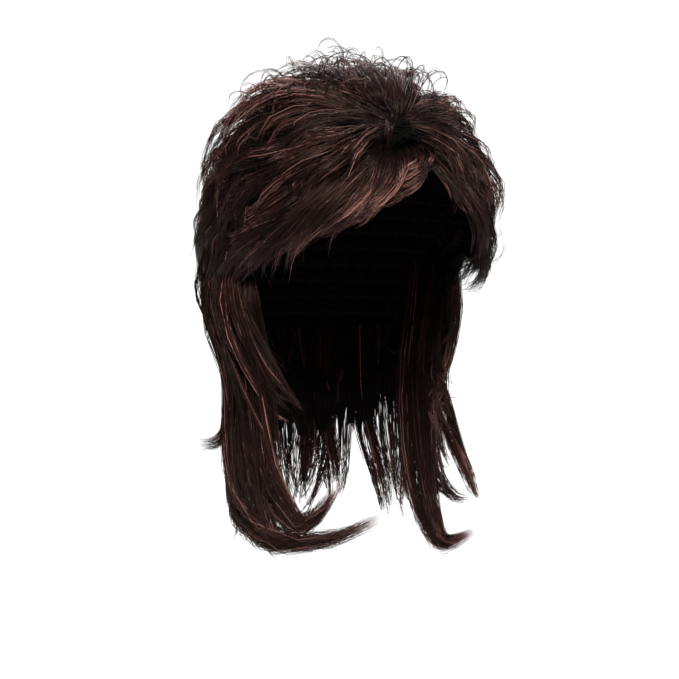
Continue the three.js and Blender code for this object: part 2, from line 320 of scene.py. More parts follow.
# %% [markdown]
# ## Blending values
# Hair changes softly from root to tip and from one side to the other. Three small functions say
# how: a smooth step, a mix of two values, and a bell for what is strongest at one place.


# %% Blending values
def ease(t, start, end):
    x = np.clip((t - start) / (end - start), 0, 1)
    return x * x * (3 - 2 * x)


def mix(a, b, t):
    return a + (b - a) * t


def bell(x, middle, width):
    """One in the middle, and close to nothing at twice the width from it."""
    return np.exp(-(((x - middle) / width) ** 2))


print("a smooth step at its quarters:", [float(ease(t, 0, 1)) for t in (0.25, 0.5, 0.75)])

# %% [markdown]
# ## Lines of hair
# Real hair gathers in wisps, so each piece is drawn as a few hundred centre lines first, all with
# the same number of steps. At every step a line has three directions: along it, outward from the
# head and sideways. With them its last part can be turned outwards or sideways, as hair curls at
# its cut end. The lines are kept in one array, so that all of them are turned at once.


# %% Lines of hair
line_steps = np.linspace(0, 1, 24)[None]


def unit(v):
    return v / np.maximum(np.linalg.norm(v, axis=-1, keepdims=True), 1e-9)


def frames(lines):
    """Along, outward and sideways directions at each point of each line."""
    along = unit(np.gradient(lines, axis=1))
    outward = lines - centre
    outward[..., 2] = np.maximum(outward[..., 2], 0)
    outward = unit(outward - along * np.sum(outward * along, -1, keepdims=True))
    return along, outward, np.cross(outward, along)


def rotated(v, axis, angle):
    across = np.cross(axis, v)
    straight = axis * np.sum(axis * v, -1, keepdims=True)
    sine, cosine = np.sin(angle)[..., None], np.cos(angle)[..., None]
    return v * cosine + across * sine + straight * (1 - cosine)


def bend_tips(lines, outwards, aside, start=0.45):
    """Turn the last part of each line outwards and aside, by up to so many degrees at the tip."""
    _, outward, sideways = frames(lines)
    steps = np.diff(lines, axis=1)
    share = ease(line_steps[:, 1:], start, 1.05)
    steps = rotated(steps, sideways[:, 1:], -np.radians(outwards)[:, None] * share)
    steps = rotated(steps, outward[:, 1:], np.radians(aside)[:, None] * share)
    return np.concatenate([lines[:, :1], lines[:, :1] + np.cumsum(steps, 1)], 1)


print(line_steps.size, "steps along each line")

# %% [markdown]
# ## From lines to strands
# `comb_out` spreads strands around each line. They start side by side, run together towards the
# tip, differ in length and wave a little, and a few stray. A hair system could do this as well, but
# a plain mesh exports as it looks, and thousands of small alike things are made best from arrays.


# %% From lines to strands
def comb_out(
    rng, lines, each, width, depth, gather, shortest=0.8, wave=0.0008, stray=0.05, stations=7
):
    """Strands around lines, in metres. Gather is the tip's size as a share of the widest."""
    count, steps, _ = lines.shape
    _, outward, sideways = frames(lines)
    wisp = np.repeat(np.arange(count), each)
    total = len(wisp)
    width = np.broadcast_to(width, count)[wisp][:, None]
    length = rng.uniform(shortest, 1, total) ** 0.8
    t = np.linspace(0, 1, stations)[None] * length[:, None]
    place = np.clip(t * (steps - 1), 0, steps - 1.001)
    low = place.astype(int)
    share = (place - low)[..., None]

    def along_line(field):
        return field[wisp[:, None], low] * (1 - share) + field[wisp[:, None], low + 1] * share

    size = np.where(
        t < 0.3,
        mix(0.7, 1.0, ease(t, 0, 0.3)),
        mix(gather, 1.0, np.clip((1 - t) / 0.7, 0, 1) ** 0.9),
    )
    angle = rng.uniform(0, 2 * math.pi, total)[:, None]
    radius = np.sqrt(rng.uniform(0, 1, total))[:, None]
    strays = np.where(rng.uniform(size=total) < stray, rng.uniform(1.5, 3.5, total), 0)[:, None]
    turn = rng.uniform(0, 2 * math.pi, (total, 1))
    often = rng.uniform(0.6, 1.6, (total, 1)) * 2 * math.pi
    aside = width * radius * np.cos(angle) * size + wave * t * np.sin(often * t + turn)
    proud = depth * radius * np.sin(angle) * size + wave * 0.6 * t * np.cos(often * t * 1.3 + turn)
    aside = aside + strays * wave * t**2 * np.cos(turn) * 2
    proud = proud + strays * wave * t**2 * np.abs(np.sin(turn)) * 1.5
    points = along_line(lines) + along_line(sideways) * aside[..., None]
    points = points + along_line(outward) * proud[..., None]
    return points, wisp, t


# %% [markdown]
# ## Strands as a mesh
# A strand becomes a closed tube with three sides that thins out to a point. Three sides are enough
# for something under half a millimetre thick, and they keep each piece light. A real strand is
# about six times thinner, but a wig has far more of them than can be drawn, and fewer, thicker
# ones cover as well. Every strand gets its own small field on a UV map, its tone, and how far
# along it a point is, for the material to read. One in six is paler than its wisp.


# %% Strands as a mesh
fibre, fine_fibre, fringe_fibre = 0.00046, 0.00042, 0.00040
curl_fibre, side_curl_fibre = 0.00034, 0.00030
hair_middle = [0, 0, -0.13]
light_share = 0.16


def strand_arrays(rng, points, wisp, t, thickness, wisp_tone, painted_root_shade=0.2):
    """The corners, faces and values of one batch. Painted root shade darkens the roots."""
    total, stations, _ = points.shape
    rings = stations - 1
    along = unit(np.gradient(points, axis=1))
    aim = unit(points.mean(1, keepdims=True) - hair_middle)
    first = unit(np.cross(along, aim + 1e-4))
    second = np.cross(along, first)
    bright = np.where(rng.uniform(size=total) < light_share, rng.uniform(0.25, 0.6, total), 0)
    radius = thickness / 2 * (rng.uniform(0.75, 1.1, total) + 0.2 * bright)[:, None]
    radius = radius * (1 - 0.6 * np.linspace(0, 1, stations) ** 3)
    spin = rng.uniform(0, 2 * math.pi, (total, 1, 1)) + np.arange(3) * 2 * math.pi / 3
    ring = (
        points[:, :rings, None]
        + first[:, :rings, None] * (np.cos(spin) * radius[:, :rings, None])[..., None]
        + second[:, :rings, None] * (np.sin(spin) * radius[:, :rings, None])[..., None]
    )
    verts_each = rings * 3 + 1
    verts = np.concatenate([ring.reshape(total, -1, 3), points[:, -1:]], 1).reshape(-1, 3)

    side = np.arange(3)
    after = (side + 1) % 3
    level = np.arange(rings - 1)[:, None] * 3
    quads = np.stack([level + side, level + after, level + 3 + after, level + 3 + side], -1)
    quads = quads.reshape(-1, 4)
    last = (rings - 1) * 3
    tips = np.stack([last + side, last + after, np.full(3, rings * 3)], -1)
    root = np.array([[2, 1, 0]])
    loops_each = np.concatenate([quads.ravel(), tips.ravel(), root.ravel()])
    loops = (loops_each[None] + (np.arange(total) * verts_each)[:, None]).ravel()
    sizes = np.tile([4] * len(quads) + [3] * 4, total)

    ring_u = np.linspace(0, 1, stations)
    quad_uv = []
    for low, high in zip(ring_u[:-2], ring_u[1:-1]):
        for k in range(3):
            quad_uv += [(low, k), (low, k + 1), (high, k + 1), (high, k)]
    tip_uv = []
    for k in range(3):
        tip_uv += [(ring_u[-2], k), (ring_u[-2], k + 1), (1, k + 0.5)]
    root_uv = [(0, 0), (0, 0.5), (0.02, 0)]
    uv = np.array(quad_uv + tip_uv + root_uv) / [1, 3]
    uv = np.tile(uv[None], (total, 1, 1))
    along_ring = np.concatenate([np.repeat(t[:, :rings], 3, 1), t[:, -1:]], 1)
    tone = wisp_tone[wisp] - 0.06 + bright + rng.normal(0, 0.11, total)
    # Painted shade: the tone is lowered towards the root, as shade under the layers above.
    tone = tone[:, None] - painted_root_shade * (1 - along_ring) ** 2
    return {
        "verts": verts,
        "loops": loops,
        "sizes": sizes,
        "uv": uv,
        "tone": np.clip(tone, 0, 1).ravel(),
        "along": along_ring.ravel(),
        "triangles": total * ((rings - 1) * 6 + 4),
        "strands": total,
    }


print("a strand is", fibre * 1000, "mm thick")

# %% [markdown]
# ## One mesh for each piece
# A mesh takes its corners and faces fastest as whole arrays. The UV map is a board of small fields,
# a field for each strand. The finished piece then moves with the wig's body, hides the solid that
# it stands for and gets its finish.


# %% One mesh for each piece
def strand_mesh(name, batches):
    """One mesh from several batches of strands."""
    strands = sum(batch["strands"] for batch in batches)
    columns = max(1, round(math.sqrt(strands / 6)))
    rows = math.ceil(strands / columns)
    uvs, loops, first_strand, first_corner = [], [], 0, 0
    for batch in batches:
        number = first_strand + np.arange(batch["strands"])
        cell = np.stack([number % columns, number // columns], -1)[:, None]
        uvs.append(((cell + 0.08 + 0.84 * batch["uv"]) / [columns, rows]).reshape(-1, 2))
        loops.append(batch["loops"] + first_corner)
        first_strand += batch["strands"]
        first_corner += len(batch["verts"])
    verts = np.concatenate([batch["verts"] for batch in batches])
    loops = np.concatenate(loops)
    sizes = np.concatenate([batch["sizes"] for batch in batches])
    starts = np.concatenate([[0], np.cumsum(sizes)[:-1]])
    mesh = bpy.data.meshes.new(name)
    mesh.vertices.add(len(verts))
    mesh.vertices.foreach_set("co", verts.astype(np.float32).ravel())
    mesh.loops.add(len(loops))
    mesh.loops.foreach_set("vertex_index", loops.astype(np.int32))
    mesh.polygons.add(len(sizes))
    mesh.polygons.foreach_set("loop_start", starts.astype(np.int32))
    mesh.update(calc_edges=True)
    layer = mesh.uv_layers.new(name="OFBake")
    layer.uv.foreach_set("vector", np.concatenate(uvs).astype(np.float32).ravel())
    for key in ("tone", "along"):
        values = np.concatenate([batch[key] for batch in batches]).astype(np.float32)
        mesh.attributes.new(key, "FLOAT", "POINT").data.foreach_set("value", values)
    mesh.shade_smooth()
    mesh.validate()
    print(name, strands, "strands,", sum(batch["triangles"] for batch in batches), "triangles")
    return mesh


def hair_piece(name, mesh, node, material):
    piece = bpy.data.objects.new(name, mesh)
    bpy.context.collection.objects.link(piece)
    mesh.materials.append(material)
    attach(piece, "root")
    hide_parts(node)


# %% [markdown]
# ## The hair's colour
# The fibre is a very dark brown with a burgundy cast. Each strand has a tone of its own, so the
# colour is a ramp from near black through auburn to a dusty brown that reads that tone. Noise
# in patches and along the strand keeps it from looking drawn, and tips are lighter than roots,
# which is partly painted shade at the roots.

# %% Hair material
hair_fibre, wire, output = new_material("hair_fibre")
tone = wire.out(wire.node("ShaderNodeAttribute", {"attribute_name": "tone"}), "Fac")
along = wire.out(wire.node("ShaderNodeAttribute", {"attribute_name": "along"}), "Fac")
place = wire.out(wire.node("ShaderNodeTexCoord"), "Object")
patches = wire.out(wire.node("ShaderNodeTexNoise", Vector=place, Scale=45.0, Detail=3.0))
grain = wire.out(wire.node("ShaderNodeTexNoise", Vector=place, Scale=900.0, Detail=2.0))
# The along term lightens tips; it is partly painted shade at the roots.
shade = tone * 0.85 + along * 0.16 + (patches - 0.5) * 0.4 + (grain - 0.5) * 0.2
colour = wire.out(
    wire.node(
        "ShaderNodeValToRGB",
        {
            "stops": [
                (0.0, (0.0012, 0.0008, 0.0007)),
                (0.35, (0.0055, 0.0022, 0.0018)),
                (0.65, (0.0280, 0.0102, 0.0086)),
                (1.0, (0.1900, 0.0900, 0.0740)),
            ]
        },
        Fac=shade,
    )
)
bump = wire.out(wire.node("ShaderNodeBump", Strength=0.15, Distance=0.0002, Height=grain))
gloss = 0.32 + grain * 0.16
shader = wire.node("ShaderNodeBsdfPrincipled", Base_Color=colour, Roughness=gloss, Normal=bump)
shader.inputs["Specular IOR Level"].default_value = 0.15
shader.inputs["Specular Tint"].default_value = (1.0, 0.60, 0.50, 1)
wire.tree.links.new(output.inputs["Surface"], shader.outputs[0])
print("hair_fibre has", len(hair_fibre.node_tree.nodes), "nodes")

# %% [markdown]
# ## The painted shade between strands
# Under the strands lies a mat of the same hair, which is seen only in the gaps. It is painted
# nearly black as shade, and dull, with streaks that run down it: noise that is stretched along
# the height.

# %% Mat material
painted_shade_hair, wire, output = new_material("painted_shade_hair")
place = wire.out(wire.node("ShaderNodeTexCoord"), "Object")
stretch = (1.0, 1.0, 0.03)
stretched = wire.out(
    wire.node("ShaderNodeVectorMath", {"operation": "MULTIPLY"}, i0=place, i1=stretch)
)
streaks = wire.out(wire.node("ShaderNodeTexNoise", Vector=stretched, Scale=900.0, Detail=3.0))
# Near-black colours: painted shade for the hair deep under the strands.
colour = wire.out(
    wire.node(
        "ShaderNodeValToRGB",
        {
            "stops": [
                (0.4, (0.0005, 0.0004, 0.0004)),
                (0.62, (0.0028, 0.0014, 0.0012)),
                (0.8, (0.0090, 0.0040, 0.0034)),
            ]
        },
        Fac=streaks,
    )
)
bump = wire.out(wire.node("ShaderNodeBump", Strength=0.8, Distance=0.0008, Height=streaks))
shader = wire.node("ShaderNodeBsdfPrincipled", Base_Color=colour, Roughness=0.8, Normal=bump)
shader.inputs["Specular IOR Level"].default_value = 0.03
wire.tree.links.new(output.inputs["Surface"], shader.outputs[0])
print("painted_shade_hair has", len(painted_shade_hair.node_tree.nodes), "nodes")

# %% [markdown]
# ## The cap
# The cap is a CAD solid whose shape is right, so it stays and only gets its finish: a fine dark
# net, with the rows of stitching that hold the hair running around it. A cell pattern on the
# object's own coordinates makes the net, and a wave over the height makes the rows.

# %% Cap material
cap_net, wire, output = new_material("cap_net")
place = wire.out(wire.node("ShaderNodeTexCoord"), "Object")
split = wire.node("ShaderNodeSeparateXYZ", Vector=place)
height = wire.out(split, "Z")
row_spacing = 0.011
phase = height * (2 * math.pi / row_spacing)
rows = wire.out(wire.node("ShaderNodeMath", {"operation": "SINE"}, i0=phase))
cells = wire.node(
    "ShaderNodeTexVoronoi", {"feature": "DISTANCE_TO_EDGE"}, Vector=place, Scale=420.0
)
thread = wire.math("LESS_THAN", wire.out(cells, "Distance"), 0.09)
seam = wire.math("GREATER_THAN", rows, 0.86)
raised = wire.math("MAXIMUM", thread, seam)
colour = wire.out(
    wire.node(
        "ShaderNodeValToRGB",
        {"stops": [(0.0, (0.0008, 0.0006, 0.0006)), (1.0, (0.0050, 0.0034, 0.0031))]},
        Fac=raised,
    )
)
bump = wire.out(wire.node("ShaderNodeBump", Strength=0.4, Distance=0.0004, Height=raised))
shader = wire.node("ShaderNodeBsdfPrincipled", Base_Color=colour, Roughness=0.9, Normal=bump)
shader.inputs["Specular IOR Level"].default_value = 0.0
wire.tree.links.new(output.inputs["Surface"], shader.outputs[0])
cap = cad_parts["cap"]
cap.data.materials.clear()
cap.data.materials.append(cap_net)
print("cap_net has", len(cap_net.node_tree.nodes), "nodes")

# %% [markdown]
# ## The mat under the layers
# Deep between the strands the hair is a dense mat, painted dark as shade. It is made as thin
# closed shells just above the cap: a flat grid is laid around the head between two edges, given
# as a short table of turns and drops, and then gets its thickness. It keeps light from showing
# through the hair, and its lower edge is ragged, so that it doesn't show as a line.


# %% The mat
def mat_shell(
    name, node, lift, turns, top_drop, low_edge, columns=40, rows=14, at=brow_point, rag=0.004
):
    shell = bmesh.new()
    bmesh.ops.create_grid(shell, x_segments=columns, y_segments=rows, size=0.5)
    across = np.array([vert.co.x + 0.5 for vert in shell.verts])
    down = np.array([vert.co.y + 0.5 for vert in shell.verts])
    turn = mix(*turns, across)
    ragged = np.random.default_rng(columns).normal(0, rag, columns + 2)
    end = np.interp(turn, *low_edge) + np.interp(across, np.linspace(0, 1, columns + 2), ragged)
    drop = mix(top_drop, end, down)
    for vert, point in zip(shell.verts, at(turn, drop, lift(turn, drop))):
        vert.co = Vector(point)
    bmesh.ops.remove_doubles(shell, verts=shell.verts, dist=1e-5)
    bmesh.ops.recalc_face_normals(shell, faces=shell.faces)
    bmesh.ops.solidify(shell, geom=shell.faces[:], thickness=0.001)
    bmesh.ops.recalc_face_normals(shell, faces=shell.faces)
    for face in shell.faces:
        face.smooth = True
    mesh = bpy.data.meshes.new(name)
    shell.to_mesh(mesh)
    shell.free()
    print(name, len(mesh.polygons), "faces")
    # Each shell takes the near-black painted-shade material.
    hair_piece(name, mesh, node, painted_shade_hair)


# %% [markdown]
# ## Where the mats lie
# Under the short layers the mat rises away from the whorl, stands highest at one corner of the top
# and sinks again under the sides. Under the long hair it hangs around the neck like a curtain, in
# three parts. Its edges stay shorter than the hair above, so that only strands make the outline.

# %% Mats
crown_edge = ([-180, -64, -58, 58, 64, 180], [0.047, 0.047, 0.024, 0.024, 0.047, 0.047])
side_edge = ([56, 62, 70, 80, 90, 96, 118], [0.062, 0.078, 0.100, 0.114, 0.128, 0.150, 0.156])
right_edge = ([-turn for turn in side_edge[0][::-1]], side_edge[1][::-1])


def under_the_top(turn, drop):
    axes = [half_width, half_length, crown_height]
    direction = unit((brow_point(turn, drop, 0.0) - centre) / axes)
    reach = np.degrees(np.arccos(np.clip(direction @ whorl, -1, 1)))
    backwards = direction @ [0.0, math.sin(parting_rise), math.cos(parting_rise)]
    bearing = np.degrees(np.arctan2(direction[..., 0], backwards))
    corner = 0.005 * bell(bearing, -42, 16) * ease(reach, 45, 65)
    return 0.0035 + 0.0045 * ease(reach, 8, 55) + corner - 0.0040 * ease(drop, 0.05, 0.11)


def under_the_long_hair(turn, drop):
    return 0.0045 + 0.0035 * ease(drop, 0.12, 0.16)


whorl = np.array([0.0, -math.cos(parting_rise), math.sin(parting_rise)])
top = under_the_top
mat_shell("crown_mat", "crown_hair", top, (-180, 180), 0.0, crown_edge, 64, 16)
mat_shell("side_mat_right", "side_hair_right", top, (-118, -57), 0.040, right_edge)
mat_shell("side_mat_left", "side_hair_left", top, (57, 118), 0.040, side_edge)
mat_shell("back_mat", "back_hair", top, (112, 248), 0.040, ([112, 248], [0.150, 0.150]))
curtains = {
    "nape_mat_right": ("nape_hair_right", [-84, -76, -46, -32], [0.190, 0.215, 0.222, 0.229]),
    "nape_mat_back": ("nape_hair_back", [-33, 33], [0.229, 0.229]),
    "nape_mat_left": ("nape_hair_left", [32, 72, 88], [0.229, 0.195, 0.160]),
}
for name, (node, turns, drops) in curtains.items():
    ends = (turns[0], turns[-1])
    low_edge = (turns, drops)
    mat_shell(name, node, under_the_long_hair, ends, 0.115, low_edge, 60, 14, nape_point, 0.008)

# %% [markdown]
# ## The crown
# The short top layers fan out from a whorl at the front of the crown, painted dark as shade. They
# are cut in tufts: each tuft keeps close to the head at its root, rises over the tufts below and
# ends in a loose, turned tip. Tufts of three wisps with a shared direction look less combed than
# single wisps.

# %% Combing
hair_rise = 0.019
degrees_per_metre = 1 / (crown_height * math.radians(1))


def combed_lines(bearing, reach, length, sweep, root, tip, droop=0.3):
    """Centre lines combed away from the whorl. All values but the droop must be arrays."""
    t = line_steps
    b = bearing[:, None] + sweep[:, None] * t**2
    r = reach[:, None] + length[:, None] * degrees_per_metre * t
    lift = mix(root[:, None], tip[:, None], np.sin(t * math.pi / 2) ** 0.75)
    return combed_point(b, r, lift * (1 - droop * ease(t, 0.55, 1.0)))


def tufted(rng, values, wisps, spread):
    """Each tuft's value repeated for its wisps, with a little spread."""
    repeated = np.repeat(values, wisps)
    return repeated + rng.normal(0, 1, len(repeated)) * spread


print("a centimetre of hair reaches", round(0.01 * degrees_per_metre, 1), "degrees")

# %% [markdown]
# ## The layers on top
# A sparse lower layer fills the depth, and a denser, longer one lies over it; the lower one is
# painted darker, as shade. Bells over the bearing make the hair fuller at its corners and flatter
# where it lies over the ears, and paint light and shade over it. Tufts that start near the whorl
# and all roots get painted shade, so that it looks deep. The short table gives how far down hair
# may end.

# %% Layers on top
rng = np.random.default_rng(11)
top_bearings = [-120, -106, -88, -60, 0, 60, 90, 110, 132]
top_ends = [0.030, 0.044, 0.085, 0.108, 0.120, 0.108, 0.092, 0.070, 0.050]
crown_parts = []
# The last value is each layer's tone; the lower layer's lower tone is painted shade.
for tufts, wisps, each, low_tip, high_tip, low_length, high_length, shade in (
    (90, 3, 8, 0.35, 0.8, 0.040, 0.060, 0.46),
    (130, 3, 10, 0.9, 1.38, 0.054, 0.080, 0.66),
):
    reach = 1 + 72 * rng.uniform(0, 1, tufts) ** 0.85
    bearing = rng.uniform(top_bearings[0], top_bearings[-1], tufts)
    corner = 0.2 * bell(bearing, -38, 13) + 0.3 * bell(bearing, 76, 17)
    full = 1.0 + corner - 0.12 * bell(bearing, 0, 25) + 0.26 * bell(bearing, 38, 17)
    full = full - 0.36 * ease(-bearing, 46, 74) - 0.16 * ease(bearing, 92, 115)
    drop_limit = np.interp(bearing, top_bearings, top_ends)
    length = rng.uniform(low_length, high_length, tufts)
    end = np.minimum(reach + length * degrees_per_metre, reach_of(bearing, drop_limit))
    reach = np.maximum(end - length * degrees_per_metre, 1)
    lines = combed_lines(
        tufted(rng, bearing, wisps, 3.5),
        np.maximum(tufted(rng, reach, wisps, 2.5), 1),
        tufted(rng, (end - reach) / degrees_per_metre, wisps, 0.003),
        tufted(rng, rng.normal(0, 13, tufts), wisps, 4.0),
        rng.uniform(0.003, 0.007, tufts * wisps),
        tufted(rng, hair_rise * full * rng.uniform(low_tip, high_tip, tufts), wisps, 0.002),
        0.3 + 0.25 * np.repeat(ease(-bearing, 38, 62), wisps)[:, None],
    )
    outwards = tufted(rng, rng.normal(0, 10, tufts) - 14 * ease(np.abs(bearing), 30, 60), wisps, 6)
    aside = tufted(rng, rng.normal(0, 14, tufts), wisps, 6)
    lines = bend_tips(lines, outwards, aside, 0.4)
    points, wisp, t = comb_out(rng, lines, each, 0.0050, 0.0020, 0.25, 0.55, 0.0012, stations=6)
    # Painted light and shade by bearing, and painted shade on tufts that start near the whorl.
    painted_light_and_shade = 0.12 * bell(bearing, 0, 45) - 0.16 * bell(bearing, -76, 16)
    painted_light_and_shade = painted_light_and_shade + 0.08 * ease(-bearing, 92, 110)
    painted_whorl_shade = 0.38 * bell(reach, 0, 14)
    tone = tufted(rng, rng.normal(shade, 0.14, tufts) + painted_light_and_shade - painted_whorl_shade, wisps, 0.1)
    tone = np.clip(tone, 0.0, 0.85)
    crown_parts.append(strand_arrays(rng, points, wisp, t, fibre, tone, 0.5))

# %% [markdown]
# ## Short hair before the whorl
# In front of the whorl the hair is short and lies across the fringe's roots, mostly towards the
# wearer's right. It hides where the fringe is sewn on, and it is painted near black as shade,
# so that the whorl looks deep.

# %% Short hair before the whorl
count = 90
from_turn = rng.uniform(-14, 20, count)
to_turn = from_turn - rng.uniform(24, 42, count)
from_drop = rng.uniform(0.021, 0.029, count)
to_drop = from_drop + rng.uniform(0.005, 0.015, count)
t = line_steps
turn = mix(from_turn[:, None], to_turn[:, None], t)
drop = mix(from_drop[:, None], to_drop[:, None], t**1.3)
lift = mix(0.004, rng.uniform(0.008, 0.015, count)[:, None], np.sin(t * math.pi / 2))
lines = bend_tips(brow_point(turn, drop, lift), rng.normal(0, 15, count), rng.normal(0, 20, count))
points, wisp, t = comb_out(rng, lines, 7, 0.0024, 0.0018, 0.2, 0.6, 0.0012, stations=6)
tone = rng.choice([0.0, 0.1, 0.3, 0.8], count, p=[0.5, 0.34, 0.1, 0.06])
short_parts = [strand_arrays(rng, points, wisp, t, fine_fibre, tone, 0.1)]
# The short strands take the near-black painted-shade material of the mat.
hair_piece("short_strands", strand_mesh("short_strands", short_parts), "crown_hair", painted_shade_hair)

# %% [markdown]
# ## Loose curls on top
# Single hairs spring up on the crown and curl back, and against the light they show as thin loops.
# Each is an arc that starts upright on the surface of the hair and bends over to one side.


# %% Loose curls
def curls(rng, bases, upright, tallest, turn_low, turn_high):
    """Arcs that start along `upright` and bend over aside. Tallest is the arc's largest radius."""
    count = len(bases)
    side = unit(np.cross(upright, rng.normal(0, 1, (count, 3))))
    radius = rng.uniform(0.45, 1, count)[:, None, None] * tallest
    full = np.radians(rng.uniform(turn_low, turn_high, count))[:, None]
    angle = line_steps * full
    stretch = rng.uniform(0.8, 1.5, count)[:, None, None]
    rise = upright[:, None] * (np.sin(angle) * 1.1)[..., None]
    lean = side[:, None] * stretch * (1 - np.cos(angle))[..., None]
    return bases[:, None] + radius * (rise + lean)


count = 110
bearing = rng.uniform(-62, 62, count)
reach = rng.uniform(20, 66, count)
lift = rng.uniform(0.014, 0.022, count)
bases = combed_point(bearing, reach, lift)
upright = unit(combed_point(bearing, reach, lift + 0.01) - bases + [0, -0.002, 0.004])
lines = curls(rng, bases, upright, 0.0125, 130, 250)
points, wisp, t = comb_out(rng, lines, 3, 0.0008, 0.0008, 0.8, wave=0.0006, stations=11)
tone = rng.uniform(0.1, 0.5, count)
crown_parts.append(strand_arrays(rng, points, wisp, t, curl_fibre, tone, 0))
hair_piece("crown_strands", strand_mesh("crown_strands", crown_parts), "crown_hair", hair_fibre)

# %% [markdown]
# ## The fringe
# The thin fringe starts below the whorl and sweeps over the brow to the wearer's right, in wisps
# that come to points. The table gives, from the left end of the fringe to the right, where a wisp
# starts and ends around the head and how far it falls.

# %% Fringe
fringe_table = {
    "from_turn": [12, 2, -9, -21, -33, -44, -53],
    "to_turn": [-2, -16, -31, -45, -57, -67, -74],
    "fall": [0.24, 0.42, 0.62, 0.80, 0.92, 0.98, 1.02],
}
fringe_drop = 0.060
fringe_root = 0.4 * crown_height
rng = np.random.default_rng(12)
count = 164
where = rng.uniform(-0.2, 6, count)


def from_table(column):
    values = np.array(fringe_table[column])
    return np.interp(where, np.arange(len(values)), values)


t = line_steps
upper = rng.uniform(0, 1, count)
start_turn = mix(from_table("from_turn"), from_table("from_turn") * 0.5, upper)
start_turn = start_turn + rng.normal(0, 4, count)
start_drop = mix(0.043, 0.034, upper) + rng.normal(0, 0.002, count)
end_turn = from_table("to_turn") + rng.normal(0, 4, count)
turn = mix(start_turn[:, None], end_turn[:, None], t**1.7)
fall = from_table("fall") * rng.uniform(0.72, 1.04, count)
low_end = fringe_root + fringe_drop * fall
drop = mix(start_drop[:, None], low_end[:, None], np.sin(t * math.pi / 2) ** 1.1)
lift = 0.0025 + 0.008 * rng.uniform(0.3, 1.2, count)[:, None] * np.sin(t * math.radians(150))
main_fringe = brow_point(turn, drop, lift)
print("fringe lines:", len(main_fringe))

# %% [markdown]
# ## The fringe's other side
# A shorter part of the fringe falls to the wearer's left and joins the side hair. Both parts are
# then combed out together. Their roots lie in the shade of the hair above and are painted much
# darker, as that shade.

# %% Fringe on the other side
count_left = 44
side_turn = rng.uniform(6, 42, count_left)
end_turn = side_turn + rng.uniform(4, 24, count_left)
turn = mix(side_turn[:, None], end_turn[:, None], t**1.3)
fall = rng.uniform(0.2, 0.66, count_left) + 0.4 * ease(side_turn, 16, 40)
low_end = fringe_root + fringe_drop * fall
start_drop = rng.uniform(0.026, 0.038, count_left)
drop = mix(start_drop[:, None], low_end[:, None], np.sin(t * math.pi / 2))
lift = 0.0025 + 0.008 * rng.uniform(0.3, 1.0, count_left)[:, None] * np.sin(t * math.radians(150))
left_fringe = brow_point(turn, drop, lift)
lines = np.concatenate([main_fringe, left_fringe])
lines = bend_tips(lines, rng.normal(0, 8, len(lines)), rng.normal(0, 20, len(lines)), 0.6)
points, wisp, t = comb_out(rng, lines, 13, 0.0022, 0.0014, 0.12, 0.6, 0.0012)
tone = np.concatenate([0.5 + 0.4 * ease(where, 0, 2.5), np.full(count_left, 0.45)])
tone = np.clip(tone + rng.normal(0, 0.34, len(lines)), 0.1, 1.15)
# A strong painted root shade darkens the fringe's roots.
fringe_parts = [strand_arrays(rng, points, wisp, t, fringe_fibre, tone, 1.2)]
hair_piece("fringe_strands", strand_mesh("fringe_strands", fringe_parts), "fringe", hair_fibre)

# %% [markdown]
# ## The sides
# Feathered layers cover the temples and the ears. They are combed back and down, their tips turn
# in or out, and the foremost ones end in thin sideburns.


# %% Sides
def side_piece(name, node, side, seed, tufts, each, fullness, low_edge):
    rng = np.random.default_rng(seed)
    wisps = 3
    bearing = rng.uniform(low_edge[0][0], low_edge[0][-1], tufts)
    drop = rng.uniform(0.2, 0.72, tufts) * cap_drop
    drop_limit = np.interp(bearing, *low_edge) * rng.uniform(0.84, 1.0, tufts)
    length = rng.uniform(0.045, 0.072, tufts)
    length_reach = length * degrees_per_metre
    end = np.minimum(reach_of(bearing, drop) + length_reach, reach_of(bearing, drop_limit))
    lines = combed_lines(
        side * tufted(rng, bearing, wisps, 1.8),
        np.repeat(end - length_reach, wisps) + rng.normal(0, 2, tufts * wisps),
        np.repeat(length, wisps),
        side * tufted(rng, rng.normal(-8, 5, tufts), wisps, 2.0),
        rng.uniform(0.003, 0.006, tufts * wisps),
        tufted(rng, hair_rise * rng.uniform(0.4, fullness, tufts), wisps, 0.002),
    )
    outwards = tufted(rng, rng.normal(-10, 12, tufts), wisps, 6)
    lines = bend_tips(lines, outwards, tufted(rng, rng.normal(0, 12, tufts), wisps, 6))
    points, wisp, t = comb_out(rng, lines, each, 0.0046, 0.0018, 0.2, 0.55, 0.0012, 0.02, 6)
    tone = np.clip(tufted(rng, rng.normal(0.24, 0.15, tufts), wisps, 0.08), 0.0, 0.95)
    parts = [strand_arrays(rng, points, wisp, t, fibre, tone)]

    count = 40
    bearing = side * rng.uniform(60, 112, count)
    reach = rng.uniform(55, 92, count)
    lift = rng.uniform(0.008, 0.015, count)
    bases = combed_point(bearing, reach, lift)
    upright = unit(combed_point(bearing, reach + 6, lift + 0.008) - bases)
    lines = curls(rng, bases, upright, 0.007, 90, 260)
    points, wisp, t = comb_out(rng, lines, 3, 0.0012, 0.0008, 0.5, wave=0.0006, stations=9)
    tone = rng.uniform(0.2, 0.5, count)
    parts.append(strand_arrays(rng, points, wisp, t, side_curl_fibre, tone))
    hair_piece(name, strand_mesh(name, parts), node, hair_fibre)


right_ends = ([58, 78, 90, 106, 111, 116, 129], [0.172, 0.168, 0.156, 0.142, 0.132, 0.113, 0.109])
left_ends = ([58, 90, 108, 118, 126, 134], [0.168, 0.156, 0.150, 0.146, 0.138, 0.116])
side_piece("side_strands_right", "side_hair_right", -1, 21, 100, 16, 1.0, right_ends)
side_piece("side_strands_left", "side_hair_left", 1, 22, 84, 14, 0.85, left_ends)

# %% [markdown]
# ## The back
# The middle layers at the back of the head lie more smoothly and end over the long hair.

